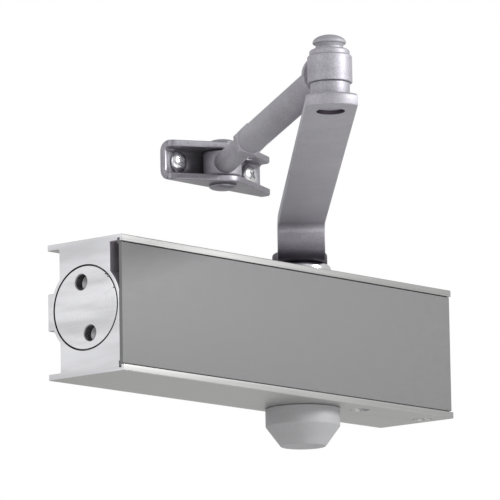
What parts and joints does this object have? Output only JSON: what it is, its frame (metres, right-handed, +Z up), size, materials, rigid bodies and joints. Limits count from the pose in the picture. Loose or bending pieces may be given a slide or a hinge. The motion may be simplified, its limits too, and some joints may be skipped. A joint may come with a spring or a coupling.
{
  "type": "door closer",
  "caption": "Overhead door closer: rack-and-pinion body with a slide-in front cover, cranked main arm, adjustable forearm and pivoting frame shoe.",
  "frame": {"origin": "centre of the back face of the body, which lies on the door", "axes": "+X along the body away from the spring end, +Y into the door, +Z up"},
  "size_m": [0.2742, 0.2064, 0.1389],
  "materials": {
    "body_aluminium": "extruded and anodised, satin",
    "cover_anodised": "fine brushed, anodised silver",
    "turned_aluminium": "bright faced",
    "cap_silver": "silver paint, matt",
    "arm_silver": "silver metallic paint",
    "plated_steel": "bright zinc plate",
    "hardened_steel": "ground and oiled",
    "bearing_bronze": "machined",
    "seal_rubber": "moulded"
  },
  "bodies": {
    "closer_body": {"housing": "body_aluminium", "spring_end_plug": "turned_aluminium", "valve_end_plug": "turned_aluminium", "spring_end_seal": "seal_rubber", "valve_end_seal": "seal_rubber", "channel_plugs": "hardened_steel", "main_spring": "hardened_steel", "spring_seat": "plated_steel", "upper_bearing": "bearing_bronze", "lower_bearing": "bearing_bronze", "upper_gland": "plated_steel", "lower_gland": "plated_steel", "upper_shaft_seal": "seal_rubber", "lower_shaft_seal": "seal_rubber", "spindle_ring": "plated_steel", "spindle_cap": "cap_silver"},
    "cover": {"cover_plate": "cover_anodised"},
    "piston": {"piston": "hardened_steel", "piston_seals": "seal_rubber", "ball_seat": "hardened_steel"},
    "check_ball": {"check_ball": "hardened_steel"},
    "closing_valve": {"closing_valve": "plated_steel", "closing_valve_seal": "seal_rubber"},
    "latching_valve": {"latching_valve": "plated_steel", "latching_valve_seal": "seal_rubber"},
    "spindle_and_arm": {"pinion_shaft": "hardened_steel", "main_arm": "arm_silver", "arm_washer": "plated_steel", "arm_screw": "plated_steel", "elbow_rivet": "arm_silver", "elbow_spacer": "arm_silver", "elbow_collar": "arm_silver"},
    "forearm": {"elbow_knuckle": "arm_silver", "forearm_tube": "arm_silver", "lock_nut": "arm_silver"},
    "adjusting_rod": {"forearm_rod": "arm_silver"},
    "shoe": {"shoe_bracket": "arm_silver", "shoe_pivot_pin": "arm_silver", "shoe_screws": "plated_steel"}
  },
  "joints": [
    {"name": "spindle_turn", "type": "hinge", "parent": "closer_body", "child": "spindle_and_arm", "pos_m": [0.0364, -0.018, 0], "axis": [0, 0, 1], "range_deg": [-170, 0], "stiffness_Nm_per_rad": 8, "springref_deg": 131.78},
    {"name": "piston_slide", "type": "slide", "parent": "closer_body", "child": "piston", "axis": [1, 0, 0], "range_m": [-0.0238, 0], "deforming": ["main_spring"]},
    {"name": "check_ball_lift", "type": "slide", "parent": "piston", "child": "check_ball", "axis": [-1, 0, 0], "range_m": [0, 0.0015]},
    {"name": "closing_valve_turn", "type": "hinge", "parent": "closer_body", "child": "closing_valve", "pos_m": [0.059, -0.033, -0.025], "axis": [0, 0, -1], "range_deg": [-90, 360]},
    {"name": "latching_valve_turn", "type": "hinge", "parent": "closer_body", "child": "latching_valve", "pos_m": [0.105, -0.0324, -0.025], "axis": [0, 0, -1], "range_deg": [-90, 360]},
    {"name": "elbow_turn", "type": "hinge", "parent": "spindle_and_arm", "child": "forearm", "pos_m": [-0.1452, -0.1889, 0.0768], "axis": [0, 0, 1], "continuous": true},
    {"name": "forearm_adjust", "type": "slide", "parent": "forearm", "child": "adjusting_rod", "axis": [0.6052, 0.7961, 0], "range_m": [0, 0.03]},
    {"name": "shoe_turn", "type": "hinge", "parent": "adjusting_rod", "child": "shoe", "pos_m": [-0.013, -0.015, 0.0768], "axis": [0, 0, 1], "range_deg": [-100, 50]},
    {"name": "cover_slide", "type": "slide", "parent": "closer_body", "child": "cover", "axis": [1, 0, 0], "range_m": [0, 0.2]}
  ],
  "couplings": [
    {"joint": "piston_slide", "follows": "spindle_turn", "m_per_rad": 0.008}
  ]
}
